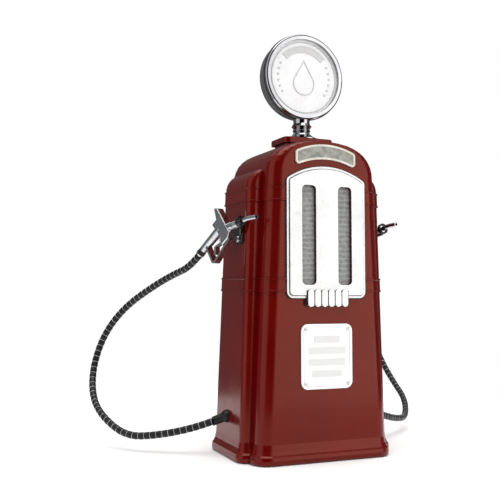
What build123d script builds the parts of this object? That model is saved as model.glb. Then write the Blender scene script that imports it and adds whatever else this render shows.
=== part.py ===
from build123d import *
import math
import os

# Tabletop drink dispenser in the shape of a 1930s twin gas pump.
# Millimetres, +Z up, front towards -Y, origin on the floor at the centre of the body.

os.makedirs("parts", exist_ok=True)

# ---- Body: a tapered centre block with a narrower wing on each side ----
TOTAL_HEIGHT = 400.0
FLOOR_GAP = 0.8              # the flange stands this far above the floor, on the feet
WALL = 2.4
CENTRE_HALF_X, CENTRE_LEAN_X = 66.3, 0.0445
CENTRE_HALF_Y, FRONT_LEAN = 53.7, 0.0187
CENTRE_CORNER = 12.0
WING_HALF_X, WING_LEAN_X = 75.2, 0.029
WING_HALF_Y = 36.0
WING_CORNER = 7.0
SHOULDER_START, BODY_TOP = 254.0, 289.6
SHOULDER_POWER = 2.6
WING_SHOULDER_START, WING_TOP, WING_ROOT = 246.6, 263.5, 51.0

# Flange outline at the foot: height, and how far it stands out of the body's own taper
FLANGE = [(FLOOR_GAP, 2.4), (1.8, 3.2), (4.8, 3.6), (7.8, 3.2), (9.2, 2.0), (12.5, 0.8), (18.0, 0.0)]

# Two raised belts, each with a thin bead along both edges
BELTS = [(152.0, 163.0), (233.3, 245.2)]
BEAD_OUT, BAND_OUT, BEAD_HALF, BEAD_RAMP = 1.2, 0.6, 0.6, 0.4

# ---- Front trim ----
PANEL_HALF, PANEL_BOTTOM, PANEL_SHOULDER, PANEL_APEX = 39.8, 145.8, 252.6, 265.1
PANEL_BASE, PANEL_FIELD = 2.2, 3.4
PANEL_BORDER = 2.6
SLOT_IN, SLOT_OUT, SLOT_BOTTOM, SLOT_TOP, SLOT_CORNER = 11.2, 25.3, 157.6, 247.4, 4.0
RIB_COUNT, RIB_PITCH, RIB_WIDTH = 6, 6.9, 6.0
RIB_BOTTOM, RIB_TOP, RIB_OUT = 139.0, 152.6, 4.8
BADGE_HALF, BADGE_END_LOW, BADGE_END_HIGH, BADGE_RISE = 30.5, 264.9, 278.6, 7.0
BADGE_THICK, BADGE_BORDER, BADGE_RECESS = 2.0, 1.9, 1.0
SIGN_HALF, SIGN_BOTTOM, SIGN_TOP, SIGN_CORNER, SIGN_THICK = 25.8, 64.7, 122.6, 6.5, 1.6
SIGN_BAR_ROWS = 4
RIVET_INSET, RIVET_RADIUS = 4.8, 1.5

# ---- Top: filler neck, lid, stem and globe ----
NECK_HALF_X, NECK_HALF_Y, NECK_WALL, NECK_TOP = 23.0, 15.0, 2.0, 291.2
GASKET_THICK = 0.8
LID_HALF_X, LID_HALF_Y, LID_CORNER, LID_TOP = 26.0, 18.0, 6.0, 297.5
SKIRT_GAP, SKIRT_WALL, SKIRT_BOTTOM = 0.4, 1.6, 286.5
STEM_FOOT = 16.5
GLOBE_RADIUS, GLOBE_INNER, DRUM_RADIUS = 41.5, 36.8, 40.0
GLOBE_Z = TOTAL_HEIGHT - GLOBE_RADIUS
RIM_FRONT, RIM_BACK, DRUM_BACK = -8.0, -2.0, 13.0
DRUM_WALL = 2.0
STEM_BOLT, STEM_BOLT_HEAD = 2.5, 4.5

# ---- Inside: tanks and pipes ----
TANK_IN, TANK_OUT, TANK_FRONT, TANK_BACK = 2.5, 42.0, -44.0, 28.0
TANK_BOTTOM, TANK_TOP, TANK_WALL, TANK_CORNER = 62.0, 262.0, 1.8, 2.5
TANK_NECK_X, TANK_NECK_RADIUS, TANK_NECK_TOP = 10.5, 9.0, 283.0
TRAY_THICK = 2.5
PIPE_X, PIPE_Y, PIPE_Z, PIPE_BEND = 22.0, 3.0, 36.0, 8.0
PIPE_RADIUS, PIPE_BORE = 4.0, 2.5
ELBOW_END, TUBE_END = 44.0, 62.0

# ---- Back cover, base and feet ----
COVER_HALF, COVER_BOTTOM, COVER_TOP, COVER_THICK = 44.0, 28.0, 228.0, 2.0
COVER_MARGIN = 7.0
BASE_THICK, FOOT_HEIGHT, FOOT_RADIUS = 2.4, 2.2, 7.0
POST_X, POST_Y, POST_RADIUS, POST_TOP = 56.0, 43.6, 7.4, 24.0
SCREW_RADIUS, SCREW_HEAD, SCREW_HEAD_THICK = 1.5, 3.0, 1.4

# ---- Hose: outer radius, wall gland and the route of its centre line, both given as on the left ----
HOSE_RADIUS = 3.4
GLAND_POINT = Vector(-74.15, 3.0, 36.0)
GLAND_DOME, GLAND_SPIGOT = 5.9, 4.5
SLEEVE_RADIUS, SLEEVE_BORE = 4.2, 2.0
HOSE_LOOP = [
    (-87.1, 8.5, 30.7), (-102.6, 15.1, 24.4), (-131.0, 34.5, 16.5), (-156.0, 54.0, 13.5),
    (-173.5, 82.0, 29.0), (-177.0, 112.0, 45.0), (-172.0, 134.0, 72.0), (-161.0, 134.0, 105.0),
]
LEFT_RISE = [(-144.0, 115.0, 134.0), (-121.0, 81.0, 157.0), (-108.0, 57.0, 168.0)]
RIGHT_RISE = [(-140.0, 124.0, 132.0), (-108.0, 104.0, 150.0), (-84.0, 82.0, 161.0)]
HANDLE_RUN = 20.0            # the last stretch of hose is in line with the nozzle's handle
HOSE_BEND = 0.45             # share of the shorter run that each arc takes

# ---- Nozzle: drawn flat, x towards the spout, y up, then stood beside the body ----
# The right one hangs a little further back and turned outwards. Both are given as on the left side.
LEFT_NOZZLE, LEFT_TURN = Vector(-75.4, -30.6, 213.6), 21.5
RIGHT_NOZZLE, RIGHT_TURN, RIGHT_SHIFT = Vector(-84.5, -12.0, 213.6), -8.6, 12.0
NOZZLE_HALF = 4.2
SPOUT_POINTS = [(-12.0, -3.3), (9.0, 2.6), (20.0, 3.4)]
SPOUT_RADIUS, SPOUT_BORE = 2.1, 1.4
BOSS_RADIUS, BOSS_START, BOSS_END, COLLAR_END = 4.0, -18.0, -9.6, -4.0
COLLAR_RADIUS = 3.4
HOOK_INNER, HOOK_OUTER, HOOK_WIDTH = 3.8, 5.3, 3.0
HANDLE_END, HANDLE_ANGLE = (-50.0, -23.7), math.radians(38.0)
HANDLE_LENGTH, HANDLE_THIN, HANDLE_THICK = 31.0, 3.9, 4.6
GRIP_LENGTH, NOZZLE_RING, NOZZLE_RING_RADIUS = 6.5, 1.4, 4.2
PIVOT = (-18.5, -15.5)
PIN_RADIUS, PIN_FIT = 0.9, 0.05
TRIGGER_LINE = [PIVOT, (-26.0, -19.0), (-31.5, -21.6), (-31.8, -29.0)]
TRIGGER_WIDTH, TRIGGER_HALF, SLOT_HALF = 2.6, 1.5, 1.8
STEM_X, VALVE_RADIUS, VALVE_LOW, VALVE_HIGH = -26.5, 1.0, -17.1, -3.0
GUARD_LINE = [(-12.2, -14.6), (-31.8, -36.0), (-34.4, -35.6), (-43.6, -20.5)]
GUARD_THICK, GUARD_HALF = 2.0, 3.4
SPRING_RADIUS, SPRING_WIRE, SPRING_PITCH, SPRING_LOW, SPRING_HIGH = 1.8, 0.25, 1.4, -16.4, -13.6


def save(name, shape):
    """Write one sub-part as its own STEP file."""
    export_step(shape, f"parts/{name}.step")


def box(x0, x1, y0, y1, z0, z1):
    """A plain block given by its limits."""
    middle = ((x0 + x1) / 2, (y0 + y1) / 2, (z0 + z1) / 2)
    return Pos(*middle) * Box(abs(x1 - x0), abs(y1 - y0), abs(z1 - z0))


def bar(start, end, radius):
    """A round bar between two points."""
    start, end = Vector(*start), Vector(*end)
    along = end - start
    return extrude(Plane(start, z_dir=along) * Circle(radius), amount=along.length)


def section(half_x, half_y, corner, z):
    """A rounded rectangle at one height."""
    corner = min(corner, half_x - 0.1, half_y - 0.1)
    return Plane.XY.offset(z) * RectangleRounded(2 * half_x, 2 * half_y, corner)


def centre_half_x(z):
    return CENTRE_HALF_X - CENTRE_LEAN_X * z


def centre_half_y(z):
    return CENTRE_HALF_Y - FRONT_LEAN * z


def wing_half_x(z):
    return WING_HALF_X - WING_LEAN_X * z


def wing_half_y(z):
    return WING_HALF_Y - FRONT_LEAN * z


def side_levels():
    """Heights and outward steps of the foot flange and of both belts."""
    levels = list(FLANGE)
    for low, high in BELTS:
        for edge, before, after in ((low, 0.0, BAND_OUT), (high, BAND_OUT, 0.0)):
            levels += [
                (edge - BEAD_HALF - BEAD_RAMP, before), (edge - BEAD_HALF, BEAD_OUT),
                (edge + BEAD_HALF, BEAD_OUT), (edge + BEAD_HALF + BEAD_RAMP, after),
            ]
    return levels


def centre_sections(levels, inset=0.0):
    """Centre block, with its shoulders rounded over to the top."""
    faces = [
        section(centre_half_x(z) + out - inset, centre_half_y(z) + out - inset, CENTRE_CORNER + out - inset, z)
        for z, out in levels
    ]
    rise = BODY_TOP - inset - SHOULDER_START
    for step in (0.0, 0.25, 0.4, 0.55, 0.68, 0.78, 0.86, 0.92, 0.965, 0.99):
        z = SHOULDER_START + rise * step
        half_x = centre_half_x(SHOULDER_START) * (1 - step**SHOULDER_POWER) ** (1 / SHOULDER_POWER)
        edge_roll = 1.6 * max(0.0, (step - 0.92) / 0.07)
        faces.append(section(half_x - inset, centre_half_y(z) - inset - edge_roll, CENTRE_CORNER - inset, z))
    return faces


def wing_sections(levels, inset=0.0):
    """Wing block, with a quarter-round shoulder that dies into the centre block."""
    faces = [
        section(wing_half_x(z) + out - inset, wing_half_y(z) + out - inset, WING_CORNER + out - inset, z)
        for z, out in levels
    ]
    rise = WING_TOP - inset - WING_SHOULDER_START
    reach = wing_half_x(WING_SHOULDER_START) - WING_ROOT
    for step in (0.12, 0.35, 0.55, 0.72, 0.85, 0.94, 0.99):
        z = WING_SHOULDER_START + rise * step
        half_x = WING_ROOT + reach * math.sqrt(1 - step**2)
        faces.append(section(half_x - inset, wing_half_y(z) - inset, WING_CORNER - inset, z))
    return faces


# Front and back faces lean in as they rise: flat drawing planes that lie on them
LEAN = math.atan(FRONT_LEAN)
FRONT = Plane((0, -CENTRE_HALF_Y, 0), x_dir=(1, 0, 0), z_dir=(0, -math.cos(LEAN), math.sin(LEAN)))
BACK = Plane((0, CENTRE_HALF_Y, 0), x_dir=(-1, 0, 0), z_dir=(0, math.cos(LEAN), math.sin(LEAN)))
SIDE_LEAN = math.atan(WING_LEAN_X)
LEFT = Plane((-WING_HALF_X, 0, 0), x_dir=(0, -1, 0), z_dir=(-math.cos(SIDE_LEAN), 0, math.sin(SIDE_LEAN)))


def on(plane, sketch, start, end):
    """Extrude a sketch between two distances out of a leaning face."""
    return extrude(plane.offset(start) * sketch, amount=end - start)


def rounded(x0, x1, y0, y1, corner):
    """A rounded rectangle given by its limits."""
    return Pos((x0 + x1) / 2, (y0 + y1) / 2) * RectangleRounded(x1 - x0, y1 - y0, corner)


def arched(half, low, shoulder, apex, corner_low, corner_high):
    """A panel with a flat foot and an arched head."""
    outline = Polyline((-half, shoulder), (-half, low), (half, low), (half, shoulder))
    outline += ThreePointArc((half, shoulder), (0, apex), (-half, shoulder))
    face = make_face(outline)
    face = fillet(face.vertices().sort_by(Axis.Y)[:2], corner_low)
    return fillet(face.vertices().group_by(Axis.Y)[-1], corner_high)


def arched_strip(half, low, high, rise, corner):
    """A strip whose two long edges are parallel arcs."""
    outline = Line((-half, high), (-half, low))
    outline += ThreePointArc((-half, low), (0, low + rise), (half, low))
    outline += Line((half, low), (half, high))
    outline += ThreePointArc((half, high), (0, high + rise), (-half, high))
    face = make_face(outline)
    return fillet(face.vertices(), corner)


def right_of(shape):
    """The same piece on the other side of the pump."""
    return mirror(shape, about=Plane.YZ)


def save_pair(name, shape):
    """Write a left piece and its mirror image."""
    save(f"left_{name}", shape)
    save(f"right_{name}", right_of(shape))


# ================= Body shell =================
outer = loft(centre_sections(side_levels()), ruled=True) + loft(wing_sections(side_levels()), ruled=True)
plain = [(-1.0, 0.0), (SHOULDER_START - 14.0, 0.0)]
cavity = loft(centre_sections(plain, WALL), ruled=True) + loft(wing_sections(plain, WALL), ruled=True)

neck_outer = extrude(section(NECK_HALF_X, NECK_HALF_Y, 5.0, BODY_TOP - 5.0), amount=NECK_TOP - BODY_TOP + 5.0)
neck_hole = extrude(
    section(NECK_HALF_X - NECK_WALL, NECK_HALF_Y - NECK_WALL, 3.0, BODY_TOP - 12.0), amount=NECK_TOP - BODY_TOP + 13.0
)
posts = [
    Pos(sx * POST_X, sy * POST_Y, FLOOR_GAP) * extrude(Circle(POST_RADIUS), amount=POST_TOP - FLOOR_GAP)
    for sx in (-1, 1) for sy in (-1, 1)
]
post_tops = [post & outer for post in posts]

shell = outer - cavity + neck_outer
for post in post_tops:
    shell += post
shell -= neck_hole

panel_outline = arched(PANEL_HALF, PANEL_BOTTOM, PANEL_SHOULDER, PANEL_APEX, 6.0, 4.0)
tab_outline = rounded(-RIB_COUNT * RIB_PITCH / 2, RIB_COUNT * RIB_PITCH / 2, RIB_BOTTOM, RIB_TOP, 1.0)
shell -= on(FRONT, panel_outline, 0, 6)
cover_outline = rounded(-COVER_HALF, COVER_HALF, COVER_BOTTOM, COVER_TOP, 8.0)
shell -= on(BACK, cover_outline, 0, 6)
cover_opening = rounded(
    COVER_MARGIN - COVER_HALF, COVER_HALF - COVER_MARGIN, COVER_BOTTOM + COVER_MARGIN, COVER_TOP - COVER_MARGIN, 5.0
)
shell -= on(BACK, cover_opening, -8, 1)
for side in (-1, 1):
    x0, x1 = sorted((side * SLOT_IN, side * SLOT_OUT))
    shell -= on(FRONT, rounded(x0, x1, SLOT_BOTTOM, SLOT_TOP, SLOT_CORNER), -8, 1)

# Base plate recess, base screw holes and the holes for the two hose glands
BASE_BOTTOM = FOOT_HEIGHT
BASE_TOP = FOOT_HEIGHT + BASE_THICK


def base_outline(gap):
    """Plan of the cavity at the floor, a little smaller all round."""
    inset = WALL + gap
    face = RectangleRounded(2 * (CENTRE_HALF_X - inset), 2 * (CENTRE_HALF_Y - inset), CENTRE_CORNER - inset)
    return face + RectangleRounded(2 * (WING_HALF_X - inset), 2 * (WING_HALF_Y - inset), WING_CORNER - inset)


shell -= extrude(base_outline(0.0), amount=BASE_TOP)
for sx in (-1, 1):
    for sy in (-1, 1):
        shell -= Pos(sx * POST_X, sy * POST_Y, 0) * extrude(Circle(SCREW_RADIUS), amount=POST_TOP - 4.0)
    shell -= bar((sx * 60, PIPE_Y, PIPE_Z), (sx * 90, PIPE_Y, PIPE_Z), GLAND_SPIGOT)
COVER_SCREWS = [
    (sx * (COVER_HALF - COVER_MARGIN / 2), y)
    for sx in (-1, 1) for y in (COVER_BOTTOM + 10, (COVER_BOTTOM + COVER_TOP) / 2, COVER_TOP - 10)
]
HOLDER_SCREWS = [(14.0, 199.0), (14.0, 214.0)]
for x, y in COVER_SCREWS:
    shell -= on(BACK, Pos(x, y) * Circle(SCREW_RADIUS), -6, 1)
for x, y in HOLDER_SCREWS:
    shell -= on(LEFT, Pos(x, y) * Circle(SCREW_RADIUS), -6, 1)
    shell -= right_of(on(LEFT, Pos(x - RIGHT_SHIFT, y) * Circle(SCREW_RADIUS), -6, 1))
save("body_shell", shell)

# ================= Base, feet and back cover =================
base_plate = Pos(0, 0, BASE_BOTTOM) * extrude(base_outline(0.3), amount=BASE_THICK)
feet = []
base_screws = []
for sx in (-1, 1):
    for sy in (-1, 1):
        foot = Pos(sx * 44, sy * 32, 0) * extrude(Circle(FOOT_RADIUS), amount=FOOT_HEIGHT)
        feet.append(chamfer(foot.edges().group_by(Axis.Z)[0], 0.8))
        place = Pos(sx * POST_X, sy * POST_Y, BASE_BOTTOM)
        base_plate -= place * extrude(Circle(SCREW_RADIUS), amount=BASE_THICK)
        head = extrude(Circle(SCREW_HEAD), amount=-SCREW_HEAD_THICK)
        head -= Pos(0, 0, -SCREW_HEAD_THICK) * Box(4.0, 0.7, 1.0)
        base_screws.append(place * (extrude(Circle(SCREW_RADIUS), amount=14.0) + head))
save("base_plate", base_plate)
save("base_feet", Compound(children=feet))
save("base_screws", Compound(children=base_screws))


def pan_screws(plane, places, thickness, reach):
    """Cross-head screws with domed heads that stand on a plate."""
    screws = []
    for x, y in places:
        head = extrude(plane.offset(thickness) * Pos(x, y) * Circle(SCREW_HEAD), amount=SCREW_HEAD_THICK)
        head = fillet(head.edges().filter_by(GeomType.CIRCLE).sort_by(lambda e: -plane.to_local_coords(e.center()).Z)[0], 1.0)
        for turn in (0, 90):
            slot = plane.offset(thickness + SCREW_HEAD_THICK) * Pos(x, y) * Rot(0, 0, turn)
            head -= slot * Box(3.2, 0.7, 1.4)
        shank = on(plane, Pos(x, y) * Circle(SCREW_RADIUS), -reach, thickness)
        screws.append(shank + head)
    return Compound(children=screws)


cover = on(BACK, cover_outline, 0, COVER_THICK)
cover = chamfer(cover.faces().sort_by(Axis.Y)[-1].edges(), 0.6)
for x, y in COVER_SCREWS:
    cover -= on(BACK, Pos(x, y) * Circle(SCREW_RADIUS), -1, COVER_THICK + 1)
for row in range(5):
    cover -= on(BACK, Pos(0, 196 + row * 5) * SlotOverall(46, 2.0), -1, COVER_THICK + 1)
save("back_cover", cover)
save("back_cover_screws", pan_screws(BACK, COVER_SCREWS, COVER_THICK, 5.0))

# ================= Front panel, windows, badge and sign =================
field_outline = offset(panel_outline, -PANEL_BORDER)
panel = on(FRONT, panel_outline, 0, PANEL_BASE) + on(FRONT, field_outline, 0, PANEL_FIELD)
panel += on(FRONT, tab_outline, 0, PANEL_FIELD)
for index in range(RIB_COUNT):
    x = (index - (RIB_COUNT - 1) / 2) * RIB_PITCH
    rib = Pos(x, (RIB_BOTTOM + RIB_TOP) / 2) * SlotOverall(RIB_TOP - RIB_BOTTOM + 2.0, RIB_WIDTH, rotation=90)
    panel += on(FRONT, rib, 0, RIB_OUT)
for name, side in (("left", -1), ("right", 1)):
    x0, x1 = sorted((side * SLOT_IN, side * SLOT_OUT))
    panel -= on(FRONT, rounded(x0, x1, SLOT_BOTTOM, SLOT_TOP, SLOT_CORNER), -1, 9)
    glass = rounded(x0 + 0.1, x1 - 0.1, SLOT_BOTTOM + 0.1, SLOT_TOP - 0.1, SLOT_CORNER - 0.1)
    save(f"{name}_sight_window", on(FRONT, glass, -2.4, -0.8))
save("bezel_panel", panel)

badge_outline = arched_strip(BADGE_HALF, BADGE_END_LOW, BADGE_END_HIGH, BADGE_RISE, 3.2)
badge_inner = offset(badge_outline, -BADGE_BORDER)
badge_floor = BADGE_THICK - BADGE_RECESS
badge = on(FRONT, badge_outline, 0, BADGE_THICK) - on(FRONT, badge_inner, badge_floor, BADGE_THICK + 1)
save("badge_frame", badge)
save("badge_insert", on(FRONT, offset(badge_outline, -BADGE_BORDER - 0.05), badge_floor, BADGE_THICK - 0.35))

sign_outline = rounded(-SIGN_HALF, SIGN_HALF, SIGN_BOTTOM, SIGN_TOP, SIGN_CORNER)
sign = on(FRONT, sign_outline, 0, SIGN_THICK)
groove = offset(sign_outline, -2.2) - offset(sign_outline, -2.8)
sign -= on(FRONT, groove, SIGN_THICK - 0.4, SIGN_THICK + 1)
row_pitch = 10.2
for row in range(SIGN_BAR_ROWS):
    y = (SIGN_BOTTOM + SIGN_TOP) / 2 + ((SIGN_BAR_ROWS - 1) / 2 - row) * row_pitch
    half = (13.0, 18.5, 18.5, 15.0)[row]
    sign += on(FRONT, rounded(-half, half, y - 3.0, y + 3.0, 1.5), 0, SIGN_THICK + 0.4)
rivet_places = [
    (sx * (SIGN_HALF - RIVET_INSET), y)
    for sx in (-1, 1) for y in (SIGN_BOTTOM + RIVET_INSET, SIGN_TOP - RIVET_INSET)
]
rivets = []
for x, y in rivet_places:
    sign -= on(FRONT, Pos(x, y) * Circle(0.8), -1, SIGN_THICK + 1)
    dome = FRONT.offset(SIGN_THICK) * Pos(x, y) * Sphere(RIVET_RADIUS)
    dome &= on(FRONT, Pos(x, y) * Circle(RIVET_RADIUS + 1), SIGN_THICK, SIGN_THICK + 4)
    rivets.append(dome + on(FRONT, Pos(x, y) * Circle(0.8), 0, SIGN_THICK))
save("sign_plate", sign)
save("sign_plate_rivets", Compound(children=rivets))

# ================= Tanks, tray and pipes =================
tray_inset = WALL + 0.2
tray = extrude(
    section(centre_half_x(TANK_BOTTOM) - tray_inset, centre_half_y(TANK_BOTTOM) - tray_inset,
            CENTRE_CORNER - tray_inset, TANK_BOTTOM), amount=-TRAY_THICK
)
for sx in (-1, 1):
    tray -= bar((sx * PIPE_X, PIPE_Y, TANK_BOTTOM - 9), (sx * PIPE_X, PIPE_Y, TANK_BOTTOM + 1), PIPE_RADIUS)
save("tank_tray", tray)


def tank_block(inset, low, high):
    """One tank's outline, shrunk by its wall for the inside."""
    face = rounded(
        -TANK_OUT + inset, -TANK_IN - inset, TANK_FRONT + inset, TANK_BACK - inset, TANK_CORNER - inset
    )
    return Pos(0, 0, low) * extrude(face, amount=high - low)


tank = tank_block(0, TANK_BOTTOM, TANK_TOP) + bar(
    (-TANK_NECK_X - 1.0, 0, TANK_TOP), (-TANK_NECK_X - 1.0, 0, TANK_NECK_TOP), TANK_NECK_RADIUS
)
tank -= tank_block(TANK_WALL, TANK_BOTTOM + TANK_WALL, TANK_TOP - TANK_WALL)
tank -= bar((-TANK_NECK_X - 1.0, 0, TANK_TOP - 6), (-TANK_NECK_X - 1.0, 0, TANK_NECK_TOP + 1), TANK_NECK_RADIUS - 1.5)
tank -= bar((-PIPE_X, PIPE_Y, TANK_BOTTOM - 1), (-PIPE_X, PIPE_Y, TANK_BOTTOM + 4), PIPE_BORE)
save_pair("tank", tank)

elbow_path = FilletPolyline(
    (-PIPE_X, PIPE_Y, TANK_BOTTOM), (-PIPE_X, PIPE_Y, PIPE_Z), (-ELBOW_END, PIPE_Y, PIPE_Z), radius=PIPE_BEND
)
elbow_start = Plane((-PIPE_X, PIPE_Y, TANK_BOTTOM), z_dir=(0, 0, -1))
elbow = sweep(elbow_start * Circle(PIPE_RADIUS), elbow_path) - sweep(elbow_start * Circle(PIPE_BORE), elbow_path)
save_pair("outlet_elbow", elbow)
tube_ends = ((-ELBOW_END, PIPE_Y, PIPE_Z), (-TUBE_END, PIPE_Y, PIPE_Z))
save_pair("inner_tube", bar(*tube_ends, PIPE_RADIUS) - bar(*tube_ends, PIPE_BORE))

# ================= Wall gland and sleeve =================
hose_start, hose_next = Vector(*HOSE_LOOP[0]), Vector(*HOSE_LOOP[1])
exit_way = (hose_next - hose_start).normalized()
sleeve_root = hose_start - exit_way * (hose_start - GLAND_POINT).length
outside = on(LEFT, Pos(-PIPE_Y, PIPE_Z) * Circle(12), 0, 12)
gland = (Pos(*GLAND_POINT) * Sphere(GLAND_DOME)) & outside
spigot_end = (-WING_HALF_X, PIPE_Y, PIPE_Z)
gland += bar((-TUBE_END, PIPE_Y, PIPE_Z), spigot_end, GLAND_SPIGOT) - outside
gland -= bar((-TUBE_END + 1, PIPE_Y, PIPE_Z), (-TUBE_END - 9, PIPE_Y, PIPE_Z), PIPE_BORE)
gland -= bar(sleeve_root, hose_start, SLEEVE_RADIUS)
save_pair("hose_gland", gland)
sleeve = bar(sleeve_root, hose_start, SLEEVE_RADIUS) - bar(sleeve_root + exit_way * 3, hose_start, SLEEVE_BORE)
sleeve &= outside
save_pair("hose_sleeve", sleeve)

# ================= Nozzle =================
def stand(origin, degrees):
    """The upright plane that a nozzle hangs in, with x towards its spout."""
    turn = math.radians(degrees)
    return Plane(origin, x_dir=(math.sin(turn), -math.cos(turn), 0), z_dir=(-math.cos(turn), -math.sin(turn), 0))


LEFT_STAND, RIGHT_STAND = stand(LEFT_NOZZLE, LEFT_TURN), stand(RIGHT_NOZZLE, RIGHT_TURN)


def flat(points, half):
    """A polygon on the nozzle's middle plane, thickened both ways."""
    return extrude(make_face(Polyline(*points, close=True)), amount=half, both=True)


def save_nozzle(name, shape):
    """Save one nozzle piece twice, moved from the drawing to each side of the pump."""
    save(f"left_nozzle_{name}", LEFT_STAND.location * shape)
    save(f"right_nozzle_{name}", right_of(RIGHT_STAND.location * shape))


spout_path = FilletPolyline(*SPOUT_POINTS, radius=30)
spout_slope = math.atan2(SPOUT_POINTS[1][1] - SPOUT_POINTS[0][1], SPOUT_POINTS[1][0] - SPOUT_POINTS[0][0])
spout_dir = Vector(math.cos(spout_slope), math.sin(spout_slope), 0)
spout_root = Vector(*SPOUT_POINTS[0], 0)


def spout_at(x):
    """The point of the spout's straight part at one distance along the drawing."""
    return spout_root + spout_dir * ((x - spout_root.X) / spout_dir.X)


handle_way = Vector(math.cos(HANDLE_ANGLE), math.sin(HANDLE_ANGLE), 0)
handle_end = Vector(*HANDLE_END, 0)
handle = Plane(handle_end, z_dir=handle_way) * (
    Pos(0, 0, HANDLE_LENGTH / 2) * Cone(HANDLE_THIN, HANDLE_THICK, HANDLE_LENGTH)
)
body = flat(
    [(-32.3, 13.8), (-27.4, 13.6), (-11.1, -8.5), (-13.2, -14.4), (-21.0, -20.6), (-22.5, -14.0),
     (-34.7, -1.4), (-29.3, 3.2)], NOZZLE_HALF
)
body = chamfer(body.edges().filter_by(Plane.XY), 0.8)
body += handle
body += bar(spout_at(BOSS_START), spout_at(BOSS_END), BOSS_RADIUS)
body -= bar(spout_root, spout_at(BOSS_END + 1), SPOUT_RADIUS)
trigger_slot = [(-13.5, -12.0), (-23.6, -12.0), (-25.5, -24.0), (-13.5, -24.0)]
body -= flat(trigger_slot, SLOT_HALF)
body -= extrude(Pos(*PIVOT) * Circle(PIN_RADIUS), amount=NOZZLE_HALF + 1, both=True)
body -= bar((STEM_X, -20, 0), (STEM_X, VALVE_HIGH + 3.0, 0), VALVE_RADIUS + PIN_FIT)
save_nozzle("body", body)

spout = sweep(Plane(spout_root, z_dir=spout_dir) * Circle(SPOUT_RADIUS), spout_path)
spout -= sweep(Plane(spout_root, z_dir=spout_dir) * Circle(SPOUT_BORE), spout_path)
save_nozzle("spout", spout)
collar = bar(spout_at(BOSS_END), spout_at(COLLAR_END), COLLAR_RADIUS)
collar -= bar(spout_at(BOSS_END - 1), spout_at(COLLAR_END + 1), SPOUT_RADIUS)
for index in range(12):
    angle = math.radians(index * 30)
    side_way = Vector(-spout_dir.Y, spout_dir.X, 0) * math.cos(angle) + Vector(0, 0, 1) * math.sin(angle)
    notch = side_way * (COLLAR_RADIUS + 0.15)
    collar -= bar(spout_at(BOSS_END - 1) + notch, spout_at(COLLAR_END + 1) + notch, 0.4)
save_nozzle("collar", collar)

guard = extrude(trace(FilletPolyline(*GUARD_LINE, radius=1.6), line_width=GUARD_THICK), amount=GUARD_HALF, both=True)
guard -= body
guard = guard.solids().sort_by(SortBy.VOLUME)[-1]
save_nozzle("guard", guard)

head = extrude(Pos(*PIVOT) * Circle(2.3), amount=TRIGGER_HALF, both=True)
lever = extrude(trace(Polyline(*TRIGGER_LINE), line_width=TRIGGER_WIDTH), amount=TRIGGER_HALF, both=True)
pad = extrude(trace(Polyline(*TRIGGER_LINE[2:]), line_width=TRIGGER_WIDTH), amount=TRIGGER_HALF + 1.0, both=True)
trigger = head + lever + pad
trigger -= extrude(Pos(*PIVOT) * Circle(PIN_RADIUS + PIN_FIT), amount=NOZZLE_HALF, both=True)
save_nozzle("trigger", trigger)
save_nozzle("trigger_pin", extrude(Pos(*PIVOT) * Circle(PIN_RADIUS), amount=NOZZLE_HALF, both=True))
save_nozzle("valve_stem", bar((STEM_X, VALVE_LOW, 0), (STEM_X, VALVE_HIGH, 0), VALVE_RADIUS))

coil_turns = Helix(pitch=SPRING_PITCH, height=SPRING_HIGH - SPRING_LOW, radius=SPRING_RADIUS)
coil = sweep(Plane(coil_turns @ 0, z_dir=coil_turns % 0) * Circle(SPRING_WIRE), coil_turns, is_frenet=True)
coil = Pos(STEM_X, SPRING_LOW, 0) * (Rot(-90, 0, 0) * coil)
save_nozzle("trigger_spring", coil)

hose_end = handle_end - handle_way * GRIP_LENGTH
ring_top = hose_end + handle_way * NOZZLE_RING
grip = bar(ring_top, handle_end, SLEEVE_RADIUS - 0.3) - bar(ring_top, handle_end - handle_way, SLEEVE_BORE)
save_nozzle("hose_grip", grip)
save_nozzle("hose_ring", bar(hose_end, ring_top, NOZZLE_RING_RADIUS) - bar(hose_end, ring_top, SLEEVE_BORE))

# ================= Hoses =================
def hose_along(rise, plane):
    """One hose: the loop, its own rise, and a straight run into the handle."""
    into_handle = [plane.from_local_coords(hose_end - handle_way * run) for run in (HANDLE_RUN, 0)]
    route = [Vector(*point) for point in HOSE_LOOP + rise] + into_handle
    radii = []
    for before, corner, after in zip(route, route[1:], route[2:]):
        turn = math.radians((corner - before).get_angle(after - corner))
        shorter = min((corner - before).length, (after - corner).length)
        radii.append(HOSE_BEND * shorter / math.tan(turn / 2))
    path = FilletPolyline(*route, radius=radii)
    hose = sweep(Plane(route[0], z_dir=route[1] - route[0]) * Circle(HOSE_RADIUS), path)
    print("hose radii", [round(radius, 1) for radius in radii], "length", round(path.length, 1),
          "volume ratio", round(hose.volume / (math.pi * HOSE_RADIUS**2 * path.length), 4))
    return hose


save("left_hose", hose_along(LEFT_RISE, LEFT_STAND))
save("right_hose", right_of(hose_along(RIGHT_RISE, RIGHT_STAND)))

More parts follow.
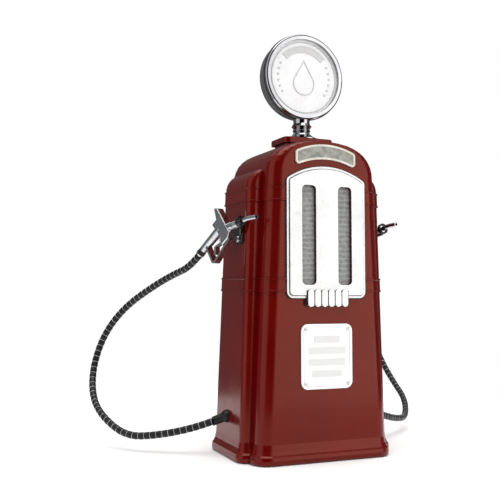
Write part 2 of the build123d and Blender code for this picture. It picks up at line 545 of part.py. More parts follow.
# ================= Holder for each nozzle =================
def nozzle_holder(plane, shift):
    """A plate on the wing with an arm to the eye that the spout hangs in."""
    outline = Pos(-shift, 0) * rounded(5.0, 23.0, 194.5, 218.5, 3.0)
    eye = plane.from_local_coords(spout_at(0.0))
    way = (plane.from_local_coords(spout_at(1.0)) - eye).normalized()
    holder = on(LEFT, outline, 0, 2.0)
    holder += bar((-69.6, -17.0 + shift, 202.5), eye - Vector(0, 0, (HOOK_INNER + HOOK_OUTER) / 2), 1.6)
    holder += bar(eye - way * (HOOK_WIDTH / 2), eye + way * (HOOK_WIDTH / 2), HOOK_OUTER)
    holder -= bar(eye - way * HOOK_WIDTH, eye + way * HOOK_WIDTH, HOOK_INNER)
    holder -= on(LEFT, outline, -6, 0)
    for x, y in HOLDER_SCREWS:
        holder -= on(LEFT, Pos(x - shift, y) * Circle(SCREW_RADIUS), -1, 3)
    return holder


save("left_nozzle_holder", nozzle_holder(LEFT_STAND, 0))
save("right_nozzle_holder", right_of(nozzle_holder(RIGHT_STAND, RIGHT_SHIFT)))
save("left_holder_screws", pan_screws(LEFT, HOLDER_SCREWS, 2.0, 5.0))
right_places = [(x - RIGHT_SHIFT, y) for x, y in HOLDER_SCREWS]
save("right_holder_screws", right_of(pan_screws(LEFT, right_places, 2.0, 5.0)))

# ================= Lid, stem and globe =================
lid_bottom = NECK_TOP + GASKET_THICK
lid = extrude(section(LID_HALF_X, LID_HALF_Y, LID_CORNER, lid_bottom), amount=LID_TOP - lid_bottom)
lid = fillet(lid.edges().group_by(Axis.Z)[-1], 1.2)
skirt_x, skirt_y = (half - NECK_WALL - SKIRT_GAP for half in (NECK_HALF_X, NECK_HALF_Y))
skirt = extrude(section(skirt_x, skirt_y, 2.6, SKIRT_BOTTOM), amount=lid_bottom - SKIRT_BOTTOM)
skirt -= extrude(section(skirt_x - SKIRT_WALL, skirt_y - SKIRT_WALL, 1.0, SKIRT_BOTTOM), amount=lid_bottom - SKIRT_BOTTOM)
lid += skirt
bolt_top = LID_TOP + 9.0
bolt = bar((0, 0, lid_bottom), (0, 0, bolt_top), STEM_BOLT)
lid -= bolt
save("filler_lid", lid)
gasket = extrude(section(NECK_HALF_X, NECK_HALF_Y, 5.0, NECK_TOP), amount=GASKET_THICK)
gasket -= extrude(section(skirt_x, skirt_y, 2.6, NECK_TOP), amount=GASKET_THICK)
save("lid_gasket", gasket)
save("stem_bolt", bolt + bar((0, 0, lid_bottom - 2.5), (0, 0, lid_bottom), STEM_BOLT_HEAD))

stem_outline = Polyline(
    (0, LID_TOP), (STEM_FOOT, LID_TOP), (STEM_FOOT, LID_TOP + 0.9), (12.6, LID_TOP + 2.6), (9.4, LID_TOP + 4.8),
    (7.6, LID_TOP + 7.4), (8.8, LID_TOP + 9.2), (7.8, LID_TOP + 10.8), (8.6, LID_TOP + 11.8),
    (9.9, LID_TOP + 13.4), (8.6, LID_TOP + 15.0), (7.9, LID_TOP + 16.0), (8.3, LID_TOP + 25.0), (0, LID_TOP + 25.0),
    close=True,
)
stem = revolve(Plane.XZ * make_face(stem_outline), Axis.Z)
stem -= bar((0, RIM_FRONT - 5, GLOBE_Z), (0, RIM_BACK, GLOBE_Z), GLOBE_RADIUS)
stem -= bar((0, RIM_BACK, GLOBE_Z), (0, DRUM_BACK + 5, GLOBE_Z), DRUM_RADIUS)
stem -= bolt
save("globe_stem", stem)

drum = bar((0, RIM_BACK, GLOBE_Z), (0, DRUM_BACK, GLOBE_Z), DRUM_RADIUS)
drum = fillet(drum.edges().group_by(Axis.Y)[-1], 3.0)
drum -= bar((0, RIM_BACK, GLOBE_Z), (0, DRUM_BACK - DRUM_WALL, GLOBE_Z), DRUM_RADIUS - DRUM_WALL)
save("globe_drum", drum)
rim_tube = bar((0, RIM_FRONT, GLOBE_Z), (0, RIM_BACK, GLOBE_Z), GLOBE_RADIUS)
rim_tube = fillet(rim_tube.edges().group_by(Axis.Y)[0], 2.2)
rim_tube -= bar((0, RIM_FRONT, GLOBE_Z), (0, RIM_BACK, GLOBE_Z), GLOBE_INNER)
save("globe_rim", rim_tube)

FACE = Plane((0, RIM_FRONT + 3.5, GLOBE_Z), x_dir=(1, 0, 0), z_dir=(0, -1, 0))
face_plate = on(FACE, Circle(GLOBE_INNER - 0.02), -2.5, 0)
face_plate += on(FACE, Circle(34.6) - Circle(33.8), 0, 0.6)
arc_width = 6.4
banner_mid = 27.4
banner = trace(CenterArc((0, 0), banner_mid, 42, 96), line_width=arc_width)
banner -= offset(banner, -0.7)
face_plate += on(FACE, banner, 0, 0.5)
for side in (-1, 1):
    for step in range(6):
        angle = math.radians(90 + side * (64 + 12 * step))
        place = Pos(banner_mid * math.cos(angle), banner_mid * math.sin(angle))
        face_plate += on(FACE, place * Circle(1.1), 0, 0.5)
drop_top, drop_low, drop_radius = 17.0, -6.0, 11.5
drop_half = math.acos(drop_radius / (drop_top - drop_low))
touch = (drop_radius * math.sin(drop_half), drop_low + drop_radius * math.cos(drop_half))
drop_line = Line((0, drop_top), touch)
drop_line += ThreePointArc(touch, (0, drop_low - drop_radius), (-touch[0], touch[1]))
drop_line += Line((-touch[0], touch[1]), (0, drop_top))
drop = make_face(drop_line)
face_plate += on(FACE, drop - offset(drop, -0.9), 0, 0.5)
save("globe_face", face_plate)
print("files", len(os.listdir("parts")))
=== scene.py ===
import math
import bpy
import bmesh
from mathutils import Matrix, Vector


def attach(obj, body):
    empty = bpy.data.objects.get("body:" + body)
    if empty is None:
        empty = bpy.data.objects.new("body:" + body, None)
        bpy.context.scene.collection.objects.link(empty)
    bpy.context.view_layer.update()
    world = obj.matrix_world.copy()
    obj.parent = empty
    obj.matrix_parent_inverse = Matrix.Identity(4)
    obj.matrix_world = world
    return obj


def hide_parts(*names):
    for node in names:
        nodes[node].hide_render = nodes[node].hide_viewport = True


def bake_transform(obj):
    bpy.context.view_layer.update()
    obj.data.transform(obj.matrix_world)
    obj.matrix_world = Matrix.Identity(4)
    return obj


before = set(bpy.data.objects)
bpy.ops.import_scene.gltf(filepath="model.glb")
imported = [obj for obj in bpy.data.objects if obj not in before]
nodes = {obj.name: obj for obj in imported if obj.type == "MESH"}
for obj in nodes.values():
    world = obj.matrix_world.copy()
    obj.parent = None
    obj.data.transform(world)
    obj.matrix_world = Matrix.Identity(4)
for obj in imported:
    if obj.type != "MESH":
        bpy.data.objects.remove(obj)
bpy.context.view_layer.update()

# ======== Studio ========
# A pale table top in even white light under a soft sun. The sky is in two parts, which no real studio
# has: diffuse light comes from plain white, while gloss paint and chrome mirror DOME, a darker room with
# a window on the left and a tall softbox in front on the right. DOME pairs a bearing with a grey.
CAMERA_AT = (-0.3389, -0.6806, 0.1578)
CAMERA_YAW, CAMERA_PITCH, CAMERA_ROLL = (math.radians(a) for a in (22.757, 2.496, 0.389))
DOME = [
    (0.000, 0.06), (0.190, 0.08), (0.235, 0.50), (0.330, 0.50), (0.370, 0.00), (0.520, 0.00),
    (0.545, 0.55), (0.580, 1.00), (0.630, 1.00), (0.665, 0.05), (0.900, 0.05), (1.000, 0.06),
]
forward = Vector((
    math.sin(CAMERA_YAW) * math.cos(CAMERA_PITCH), math.cos(CAMERA_YAW) * math.cos(CAMERA_PITCH),
    math.sin(CAMERA_PITCH),
))
level = Vector((math.cos(CAMERA_YAW), -math.sin(CAMERA_YAW), 0))
upright = level.cross(forward)
camera_right = level * math.cos(CAMERA_ROLL) + upright * math.sin(CAMERA_ROLL)
camera_up = upright * math.cos(CAMERA_ROLL) - level * math.sin(CAMERA_ROLL)
scene = bpy.context.scene
scene.view_settings.view_transform = "Standard"
camera = bpy.data.objects.new("camera", bpy.data.cameras.new("camera"))
camera.data.lens = 56.58
camera.data.sensor_width = 36.0
camera.data.clip_start = 0.02
camera_turn = Matrix((camera_right, camera_up, -forward)).transposed().to_4x4()
camera.matrix_world = Matrix.Translation(CAMERA_AT) @ camera_turn
scene.collection.objects.link(camera)
scene.camera = camera

world = bpy.data.worlds.new("studio")
scene.world = world
world.use_nodes = True
sky = world.node_tree
around = sky.nodes.new("ShaderNodeTexCoord")
split = sky.nodes.new("ShaderNodeSeparateXYZ")
sky.links.new(around.outputs["Generated"], split.inputs[0])
towards_front = sky.nodes.new("ShaderNodeMath")
towards_front.operation = "MULTIPLY"
towards_front.inputs[1].default_value = -1.0
sky.links.new(split.outputs["Y"], towards_front.inputs[0])
bearing = sky.nodes.new("ShaderNodeMath")
bearing.operation = "ARCTAN2"
sky.links.new(split.outputs["X"], bearing.inputs[0])
sky.links.new(towards_front.outputs[0], bearing.inputs[1])
turn = sky.nodes.new("ShaderNodeMapRange")
turn.inputs["From Min"].default_value = -math.pi
turn.inputs["From Max"].default_value = math.pi
sky.links.new(bearing.outputs[0], turn.inputs["Value"])
wall = sky.nodes.new("ShaderNodeValToRGB")
wall.color_ramp.interpolation = "EASE"
wall.color_ramp.elements.remove(wall.color_ramp.elements[1])
wall.color_ramp.elements[0].color = (DOME[0][1],) * 3 + (1,)
for place, grey in DOME[1:]:
    wall.color_ramp.elements.new(place).color = (grey,) * 3 + (1,)
sky.links.new(turn.outputs["Result"], wall.inputs[0])
height = sky.nodes.new("ShaderNodeMapRange")
height.interpolation_type = "SMOOTHSTEP"
height.inputs["From Min"].default_value = 0.45
height.inputs["From Max"].default_value = 0.85
sky.links.new(split.outputs["Z"], height.inputs["Value"])
dome = sky.nodes.new("ShaderNodeMix")
dome.data_type = "RGBA"
sky.links.new(height.outputs["Result"], dome.inputs["Factor"])
sky.links.new(wall.outputs[0], dome.inputs[6])
dome.inputs[7].default_value = (0.30, 0.30, 0.30, 1)
lit = sky.nodes["Background"]
lit.inputs["Strength"].default_value = 2.4
sky.links.new(dome.outputs[2], lit.inputs["Color"])
paper = sky.nodes.new("ShaderNodeBackground")
paper.inputs["Color"].default_value = (1, 1, 1, 1)
seen = sky.nodes.new("ShaderNodeLightPath")
backdrop = sky.nodes.new("ShaderNodeMixShader")
fill = sky.nodes.new("ShaderNodeBackground")
fill.inputs["Color"].default_value = (1.0, 0.99, 0.98, 1)
fill.inputs["Strength"].default_value = 1.0
mirrored = sky.nodes.new("ShaderNodeMixShader")
sky.links.new(seen.outputs["Is Glossy Ray"], mirrored.inputs[0])
sky.links.new(fill.outputs[0], mirrored.inputs[1])
sky.links.new(lit.outputs[0], mirrored.inputs[2])
sky.links.new(seen.outputs["Is Camera Ray"], backdrop.inputs[0])
sky.links.new(mirrored.outputs[0], backdrop.inputs[1])
sky.links.new(paper.outputs[0], backdrop.inputs[2])
sky.links.new(backdrop.outputs[0], sky.nodes["World Output"].inputs["Surface"])

overhead = bpy.data.objects.new("overhead", bpy.data.lights.new("overhead", "SUN"))
overhead.data.energy = 1.7
overhead.data.angle = math.radians(50)
overhead.rotation_euler = (math.radians(8), math.radians(-4), 0)
scene.collection.objects.link(overhead)

table = bmesh.new()
bmesh.ops.create_grid(table, x_segments=1, y_segments=1, size=0.42)
floor = bpy.data.objects.new("table_top", bpy.data.meshes.new("table_top"))
table.to_mesh(floor.data)
table.free()
scene.collection.objects.link(floor)
floor.data.materials.append(bpy.data.materials.new("white_table"))
floor.data.materials[0].use_nodes = True
floor_shader = floor.data.materials[0].node_tree.nodes["Principled BSDF"]
floor_shader.inputs["Base Color"].default_value = (0.93, 0.93, 0.93, 1)
floor_shader.inputs["Roughness"].default_value = 0.7

# ======== Hoses ========
# Black rubber drink hose with a thin bright wire wound through it, which shows as a ring every 6 mm.
# Each one leaves the wall of the cabinet, swings out behind and comes up into the nozzle's handle.
HOSE_RADIUS = 0.0034
HOSE_LOOP = [
    (-0.0871, 0.0085, 0.0307), (-0.1026, 0.0151, 0.0244), (-0.131, 0.0345, 0.0165), (-0.156, 0.054, 0.0135),
    (-0.1735, 0.082, 0.029), (-0.177, 0.112, 0.045), (-0.172, 0.134, 0.072), (-0.161, 0.134, 0.105),
]
HOSE_RISE = {
    "left": [
        (-0.144, 0.115, 0.134), (-0.121, 0.081, 0.157), (-0.108, 0.057, 0.168), (-0.10138, 0.03535, 0.17358),
        (-0.0956, 0.02069, 0.1859),
    ],
    "right": [
        (-0.140, 0.124, 0.132), (-0.108, 0.104, 0.150), (-0.084, 0.082, 0.161), (-0.0739, 0.05808, 0.17359),
        (-0.07626, 0.0425, 0.1859),
    ],
}
RING_PITCH = 0.0060
RING_WIRE = 0.00030
RING_SUNK = 0.00028


def link(tree, source, target):
    """Join an output to an input, each given as (node, socket)."""
    tree.links.new(source[0].outputs[source[1]], target[0].inputs[target[1]])


def noise(tree, scale, detail=3.0):
    """Noise on the piece's own coordinates, with a feature size of 1 / scale metres."""
    place = tree.nodes.new("ShaderNodeTexCoord")
    cloud = tree.nodes.new("ShaderNodeTexNoise")
    cloud.inputs["Scale"].default_value = scale
    cloud.inputs["Detail"].default_value = detail
    link(tree, (place, "Object"), (cloud, "Vector"))
    return cloud


def spread(tree, source, low, high, start=0.35, end=0.65):
    """Stretch a noise between two values."""
    stretch = tree.nodes.new("ShaderNodeMapRange")
    for key, value in (("From Min", start), ("From Max", end), ("To Min", low), ("To Max", high)):
        stretch.inputs[key].default_value = value
    link(tree, source, (stretch, "Value"))
    return stretch


def finish(name, dark, light, rough, metal=0.0, patch=35.0, grain=1800.0, bump=0.000004,
           level=0.5, tint=(1.0, 1.0, 1.0)):
    """One surface finish: tone and roughness drift over the piece, and a fine grain makes its bump."""
    material = bpy.data.materials.new(name)
    material.use_nodes = True
    tree = material.node_tree
    shader = tree.nodes["Principled BSDF"]
    shader.inputs["Metallic"].default_value = metal
    shader.inputs["Specular IOR Level"].default_value = level
    shader.inputs["Specular Tint"].default_value = tint + (1,)
    drift = noise(tree, patch)
    tone = tree.nodes.new("ShaderNodeMix")
    tone.name = "tone"
    tone.data_type = "RGBA"
    tone.inputs[6].default_value = dark + (1,)
    tone.inputs[7].default_value = light + (1,)
    link(tree, (spread(tree, (drift, "Fac"), 0.0, 1.0), "Result"), (tone, "Factor"))
    link(tree, (tone, 2), (shader, "Base Color"))
    smudge = noise(tree, patch * 4.3, 5.0)
    link(tree, (spread(tree, (smudge, "Fac"), *rough), "Result"), (shader, "Roughness"))
    relief = tree.nodes.new("ShaderNodeBump")
    relief.inputs["Strength"].default_value = 1.0
    relief.inputs["Distance"].default_value = bump
    link(tree, (noise(tree, grain, 2.0), "Fac"), (relief, "Height"))
    link(tree, (relief, "Normal"), (shader, "Normal"))
    return material


def shade_relief_tops(material, axis, above, shade):
    """Paint whatever stands further out along an axis than a height grey: painted shade standing for the
    shadows that outline pressed relief.
    """
    tree = material.node_tree
    shader = tree.nodes["Principled BSDF"]
    place = tree.nodes.new("ShaderNodeTexCoord")
    out = tree.nodes.new("ShaderNodeVectorMath")
    out.operation = "DOT_PRODUCT"
    out.inputs[1].default_value = axis
    link(tree, (place, "Object"), (out, 0))
    top = spread(tree, (out, "Value"), 0.0, 1.0, above - 0.00005, above + 0.00005)
    # Painted shade: grey mixed over the base colour on the relief tops.
    relief_shade = tree.nodes.new("ShaderNodeMix")
    relief_shade.data_type = "RGBA"
    relief_shade.inputs[7].default_value = (shade, shade, shade, 1)
    under = shader.inputs["Base Color"].links[0].from_socket
    tree.links.new(under, relief_shade.inputs[6])
    link(tree, (top, "Result"), (relief_shade, "Factor"))
    link(tree, (relief_shade, 2), (shader, "Base Color"))


def shade_walls(material, axis, shade, low=0.35, high=0.8):
    """Paint the walls of a flat fronted piece darker, by how far their normal turns from an axis: painted
    shade and dark reflection.
    """
    tree = material.node_tree
    place = tree.nodes.new("ShaderNodeTexCoord")
    facing = tree.nodes.new("ShaderNodeVectorMath")
    facing.operation = "DOT_PRODUCT"
    facing.inputs[1].default_value = axis
    link(tree, (place, "Normal"), (facing, 0))
    size = tree.nodes.new("ShaderNodeMath")
    size.operation = "ABSOLUTE"
    link(tree, (facing, "Value"), (size, 0))
    # Painted shade: walls that turn away from the axis mix toward the dark colour.
    wall_shade = tree.nodes.new("ShaderNodeMix")
    wall_shade.data_type = "RGBA"
    wall_shade.inputs[6].default_value = shade + (1,)
    link(tree, (spread(tree, (size, 0), 0.0, 1.0, low, high), "Result"), (wall_shade, "Factor"))
    link(tree, (tree.nodes["tone"], 2), (wall_shade, 7))
    link(tree, (wall_shade, 2), (tree.nodes["Principled BSDF"], "Base Color"))
    return material


def group_tree(name, inputs):
    """A geometry tree with named inputs, and its input and output nodes."""
    tree = bpy.data.node_groups.new(name, "GeometryNodeTree")
    tree.interface.new_socket("Geometry", in_out="INPUT", socket_type="NodeSocketGeometry")
    for label, kind in inputs:
        tree.interface.new_socket(label, in_out="INPUT", socket_type=kind)
    tree.interface.new_socket("Geometry", in_out="OUTPUT", socket_type="NodeSocketGeometry")
    return tree, tree.nodes.new("NodeGroupInput"), tree.nodes.new("NodeGroupOutput")


def grow(name, mesh, tree, values):
    """Run a geometry tree on a mesh and keep the result as a plain mesh object."""
    source = bpy.data.objects.new(name + "_source", mesh)
    scene.collection.objects.link(source)
    modifier = source.modifiers.new("grow", "NODES")
    modifier.node_group = tree
    for item in tree.interface.items_tree:
        if item.in_out == "INPUT" and item.name in values:
            modifier[item.identifier] = values[item.name]
    ready = source.evaluated_get(bpy.context.evaluated_depsgraph_get())
    piece = bpy.data.objects.new(name, bpy.data.meshes.new_from_object(ready))
    piece.data.name = name
    scene.collection.objects.link(piece)
    bpy.data.objects.remove(source)
    return piece


hose_tree, hose_in, hose_out = group_tree("wound_hose", [
    ("Radius", "NodeSocketFloat"), ("Step", "NodeSocketFloat"), ("Pitch", "NodeSocketFloat"),
    ("Swell", "NodeSocketFloat"), ("Sides", "NodeSocketInt"), ("Material", "NodeSocketMaterial"),
])
as_curve = hose_tree.nodes.new("GeometryNodeMeshToCurve")
even = hose_tree.nodes.new("GeometryNodeResampleCurve")
even.mode = "LENGTH"
along = hose_tree.nodes.new("GeometryNodeSplineParameter")
turns = hose_tree.nodes.new("ShaderNodeMath")
turns.operation = "DIVIDE"
wave_in = hose_tree.nodes.new("ShaderNodeMath")
wave_in.operation = "MULTIPLY"
wave_in.inputs[1].default_value = math.tau
wave = hose_tree.nodes.new("ShaderNodeMath")
wave.operation = "COSINE"
swell = hose_tree.nodes.new("ShaderNodeMath")
swell.operation = "MULTIPLY"
wall_at = hose_tree.nodes.new("ShaderNodeMath")
wall_at.operation = "SUBTRACT"
profile = hose_tree.nodes.new("GeometryNodeCurvePrimitiveCircle")
profile.inputs["Radius"].default_value = 1.0
tube = hose_tree.nodes.new("GeometryNodeCurveToMesh")
tube.inputs["Fill Caps"].default_value = True
smooth = hose_tree.nodes.new("GeometryNodeSetShadeSmooth")
whole = hose_tree.nodes.new("GeometryNodeRealizeInstances")
coloured = hose_tree.nodes.new("GeometryNodeSetMaterial")
for source, target in (
    ((hose_in, "Geometry"), (as_curve, "Mesh")), ((as_curve, "Curve"), (even, "Curve")),
    ((hose_in, "Step"), (even, "Length")), ((along, "Length"), (turns, 0)), ((hose_in, "Pitch"), (turns, 1)),
    ((turns, 0), (wave_in, 0)), ((wave_in, 0), (wave, 0)), ((wave, 0), (swell, 0)),
    ((hose_in, "Swell"), (swell, 1)),
    ((hose_in, "Radius"), (wall_at, 0)), ((swell, 0), (wall_at, 1)), ((even, "Curve"), (tube, "Curve")),
    ((hose_in, "Sides"), (profile, "Resolution")), ((profile, "Curve"), (tube, "Profile Curve")),
    ((wall_at, 0), (tube, "Scale")), ((tube, "Mesh"), (smooth, "Geometry")),
    ((smooth, "Geometry"), (whole, "Geometry")),
    ((whole, "Geometry"), (coloured, "Geometry")), ((hose_in, "Material"), (coloured, "Material")),
    ((coloured, "Geometry"), (hose_out, "Geometry")),
):
    link(hose_tree, source, target)

ring_tree, ring_in, ring_out = group_tree("winding_wire", [
    ("Radius", "NodeSocketFloat"), ("Wire", "NodeSocketFloat"), ("Pitch", "NodeSocketFloat"),
    ("Material", "NodeSocketMaterial"),
])
ring_curve = ring_tree.nodes.new("GeometryNodeMeshToCurve")
stations = ring_tree.nodes.new("GeometryNodeCurveToPoints")
stations.mode = "LENGTH"
hoop = ring_tree.nodes.new("GeometryNodeCurvePrimitiveCircle")
hoop.inputs["Resolution"].default_value = 28
strand = ring_tree.nodes.new("GeometryNodeCurvePrimitiveCircle")
strand.inputs["Resolution"].default_value = 8
one_ring = ring_tree.nodes.new("GeometryNodeCurveToMesh")
rounded = ring_tree.nodes.new("GeometryNodeSetShadeSmooth")
placed = ring_tree.nodes.new("GeometryNodeInstanceOnPoints")
real = ring_tree.nodes.new("GeometryNodeRealizeInstances")
bright = ring_tree.nodes.new("GeometryNodeSetMaterial")
for source, target in (
    ((ring_in, "Geometry"), (ring_curve, "Mesh")), ((ring_curve, "Curve"), (stations, "Curve")),
    ((ring_in, "Pitch"), (stations, "Length")), ((ring_in, "Radius"), (hoop, "Radius")),
    ((ring_in, "Wire"), (strand, "Radius")), ((hoop, "Curve"), (one_ring, "Curve")),
    ((strand, "Curve"), (one_ring, "Profile Curve")), ((one_ring, "Mesh"), (rounded, "Geometry")),
    ((stations, "Points"), (placed, "Points")), ((rounded, "Geometry"), (placed, "Instance")),
    ((stations, "Rotation"), (placed, "Rotation")), ((placed, "Instances"), (real, "Geometry")),
    ((real, "Geometry"), (bright, "Geometry")), ((ring_in, "Material"), (bright, "Material")),
    ((bright, "Geometry"), (ring_out, "Geometry")),
):
    link(ring_tree, source, target)

hose_rubber = finish("hose_rubber", (0.0025, 0.0025, 0.0025), (0.006, 0.006, 0.006), (0.38, 0.55), patch=60.0,
                     bump=0.00001, level=0.3)
ring_wire = finish("ring_wire", (0.30, 0.30, 0.31), (0.55, 0.55, 0.56), (0.25, 0.45), metal=1.0, patch=250.0)


for side, mirror in (("left", 1), ("right", -1)):
    guide = bpy.data.curves.new(side + "_hose_line", "CURVE")
    guide.dimensions = "3D"
    guide.resolution_u = 20
    spline = guide.splines.new("NURBS")
    route = HOSE_LOOP + HOSE_RISE[side]
    spline.points.add(len(route) - 1)
    for point, (x, y, z) in zip(spline.points, route):
        point.co = (x * mirror, y, z, 1)
    spline.order_u = 3
    spline.use_endpoint_u = True
    holder = bpy.data.objects.new(side + "_hose_line", guide)
    scene.collection.objects.link(holder)
    line = bpy.data.meshes.new_from_object(holder.evaluated_get(bpy.context.evaluated_depsgraph_get()))
    bpy.data.objects.remove(holder)
    hose = grow(side + "_drink_hose", line, hose_tree, {
        "Radius": HOSE_RADIUS - 0.00012, "Step": RING_PITCH / 10, "Pitch": RING_PITCH, "Swell": 0.00016,
        "Sides": 24, "Material": hose_rubber,
    })
    rings = grow(side + "_hose_rings", line, ring_tree, {
        "Radius": HOSE_RADIUS - RING_SUNK, "Wire": RING_WIRE, "Pitch": RING_PITCH, "Material": ring_wire,
    })
    for piece in (hose, rings):
        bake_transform(piece)
    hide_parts(side + "_hose")

# ======== Cabinet ========
# One pressed and welded sheet body: a tapered middle with a narrower wing on each side and two raised
# belts. It is sprayed deep red and baked to a high gloss, with a slight drift in tone and roughness.
red_enamel = finish(
    "red_enamel", (0.084, 0.0008, 0.0006), (0.104, 0.0012, 0.0009), (0.14, 0.20), patch=14.0, grain=420.0,
    bump=0.000006, level=0.5, tint=(1.0, 0.42, 0.32),
)


def coat_with(material, *names):
    """Give CAD nodes their finish."""
    for name in names:
        for place in nodes[name].material_slots:
            place.material = material


coat_with(red_enamel, "body_shell")

# ======== Front panel and sight windows ========
# A cast and polished surround with two long openings, a raised field and six ribs at its foot. Behind
# each opening is a milky ribbed sight window. Walls that face sideways get painted shade and dark reflection,
# black cords round the outline are painted shadow, and a grey cord is painted shade on the step up to the
# field.
polished_zinc = shade_walls(
    finish("polished_zinc", (0.62, 0.62, 0.62), (0.70, 0.70, 0.70), (0.20, 0.32), metal=0.35, patch=45.0,
           grain=900.0),
    (0, 1, 0), (0.02, 0.02, 0.022),
)
coat_with(polished_zinc, "bezel_panel")
milky_window = finish(
    "milky_window", (0.16, 0.16, 0.155), (0.28, 0.28, 0.275), (0.25, 0.4), patch=380.0, grain=700.0,
    bump=0.00008,
)
window_tree = milky_window.node_tree
rungs = window_tree.nodes.new("ShaderNodeTexWave")
rungs.bands_direction = "Z"
rungs.inputs["Scale"].default_value = 70.0
rungs.inputs["Distortion"].default_value = 1.5
rung_place = window_tree.nodes.new("ShaderNodeTexCoord")
rung_tone = window_tree.nodes.new("ShaderNodeMix")
rung_tone.data_type = "RGBA"
rung_tone.inputs[7].default_value = (0.42, 0.42, 0.41, 1)
link(window_tree, (rung_place, "Object"), (rungs, "Vector"))
link(window_tree, (spread(window_tree, (rungs, "Fac"), 0.0, 0.5, 0.6, 1.0), "Result"), (rung_tone, "Factor"))
link(window_tree, (window_tree.nodes["tone"], 2), (rung_tone, 6))
link(window_tree, (rung_tone, 2), (window_tree.nodes["Principled BSDF"], "Base Color"))
coat_with(milky_window, "left_sight_window", "right_sight_window")


FRONT_LEAN = 0.0187
FRONT_AT_FLOOR = 0.0537


def on_front(x, z, out):
    """A point on the leaning front of the cabinet, standing out of it by a little."""
    return (x, FRONT_LEAN * z - FRONT_AT_FLOOR - out, z)


def rounded_line(corners, out, steps=8):
    """A closed line on the front through corners given as (x, z, radius)."""
    points = []
    count = len(corners)
    for index, (x, z, radius) in enumerate(corners):
        here = Vector((x, z))
        ends = []
        for other in (corners[index - 1], corners[(index + 1) % count]):
            way = Vector(other[:2]) - here
            ends.append(here + way.normalized() * min(radius, way.length / 2))
        for step in range(steps + 1):
            t = step / steps
            spot = ends[0] * (1 - t) ** 2 + here * (2 * t * (1 - t)) + ends[1] * t ** 2
            points.append(on_front(spot.x, spot.y, out))
    return points


def arched_corners(half, low, shoulder, apex, low_radius, high_radius):
    """Corners of a panel with a flat foot and an arched head."""
    rise = apex - shoulder
    radius = (half * half + rise * rise) / (2 * rise)
    reach = math.asin(half / radius)
    head = []
    for step in range(13):
        turn_by = reach * (1 - step / 6)
        rounding = high_radius if step in (0, 12) else 0.002
        head.append((radius * math.sin(turn_by), apex - radius * (1 - math.cos(turn_by)), rounding))
    return [(-half, low, low_radius), (half, low, low_radius)] + head


def piped(name, points, radius, material, body):
    """A thin cord of one finish along a closed line of points."""
    loop = bpy.data.meshes.new(name)
    loop.from_pydata(points, [(i, (i + 1) % len(points)) for i in range(len(points))], [])
    piece = grow(name, loop, hose_tree, {
        "Radius": radius, "Step": 0.0008, "Pitch": 0.01, "Swell": 0.0, "Sides": 10, "Material": material,
    })
    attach(piece, body)


# Black cords laid round the panel and rib outlines: painted shadow in the gap round the panel.
painted_shadow_black = finish("painted_shadow_black", (0.006, 0.006, 0.006), (0.014, 0.014, 0.014), (0.45, 0.65), patch=90.0)
# A grey cord inside the border: painted shade on the step wall up to the field.
step_shade_grey = finish("step_shade_grey", (0.10, 0.10, 0.10), (0.17, 0.17, 0.17), (0.4, 0.55), patch=90.0)
EDGE_SHADOW_RADIUS, EDGE_SHADOW_OUT = 0.00060, 0.0004
STEP_SHADE_RADIUS, STEP_SHADE_OUT = 0.00036, 0.0023
panel_edge = arched_corners(0.0401, 0.1455, 0.2528, 0.2654, 0.006, 0.004)
field_edge = arched_corners(0.0376, 0.1480, 0.2520, 0.2629, 0.004, 0.002)
rib_edge = [
    (-0.0210, 0.1388, 0.001), (0.0210, 0.1388, 0.001), (0.0210, 0.1527, 0.001), (-0.0210, 0.1527, 0.001),
]
piped("panel_edge_shadow", rounded_line(panel_edge, EDGE_SHADOW_OUT), EDGE_SHADOW_RADIUS, painted_shadow_black, "cabinet")
piped("panel_step_shade", rounded_line(field_edge, STEP_SHADE_OUT), STEP_SHADE_RADIUS, step_shade_grey, "cabinet")
piped("rib_edge_shadow", rounded_line(rib_edge, EDGE_SHADOW_OUT), EDGE_SHADOW_RADIUS, painted_shadow_black, "cabinet")

# Black rods laid upright across the foot of the panel between the ribs: painted shadow in the gaps.
rib_shade_tree, rib_shade_in, rib_shade_out = group_tree("rib_gap_shadows", [
    ("Count", "NodeSocketInt"), ("Pitch", "NodeSocketFloat"), ("Radius", "NodeSocketFloat"),
    ("Length", "NodeSocketFloat"), ("Start", "NodeSocketVector"), ("Material", "NodeSocketMaterial"),
])
step_way = rib_shade_tree.nodes.new("ShaderNodeCombineXYZ")
row = rib_shade_tree.nodes.new("GeometryNodeMeshLine")
rod = rib_shade_tree.nodes.new("GeometryNodeMeshCylinder")
rod.inputs["Vertices"].default_value = 12
rods = rib_shade_tree.nodes.new("GeometryNodeInstanceOnPoints")
rods_real = rib_shade_tree.nodes.new("GeometryNodeRealizeInstances")
rods_black = rib_shade_tree.nodes.new("GeometryNodeSetMaterial")
for source, target in (
    ((rib_shade_in, "Pitch"), (step_way, "X")), ((rib_shade_in, "Count"), (row, "Count")),
    ((rib_shade_in, "Start"), (row, "Start Location")), ((step_way, 0), (row, "Offset")),
    ((rib_shade_in, "Radius"), (rod, "Radius")), ((rib_shade_in, "Length"), (rod, "Depth")),
    ((row, "Mesh"), (rods, "Points")), ((rod, "Mesh"), (rods, "Instance")),
    ((rods, "Instances"), (rods_real, "Geometry")), ((rods_real, "Geometry"), (rods_black, "Geometry")),
    ((rib_shade_in, "Material"), (rods_black, "Material")), ((rods_black, "Geometry"), (rib_shade_out, "Geometry")),
):
    link(rib_shade_tree, source, target)
rib_gap_shades = grow("rib_gap_shadows", bpy.data.meshes.new("rib_gap_shadows_start"), rib_shade_tree, {
    "Count": 7, "Pitch": 0.0069, "Radius": 0.00050, "Length": 0.0128,
    "Start": on_front(-0.0207, 0.1461, 0.0036), "Material": painted_shadow_black,
})
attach(rib_gap_shades, "cabinet")

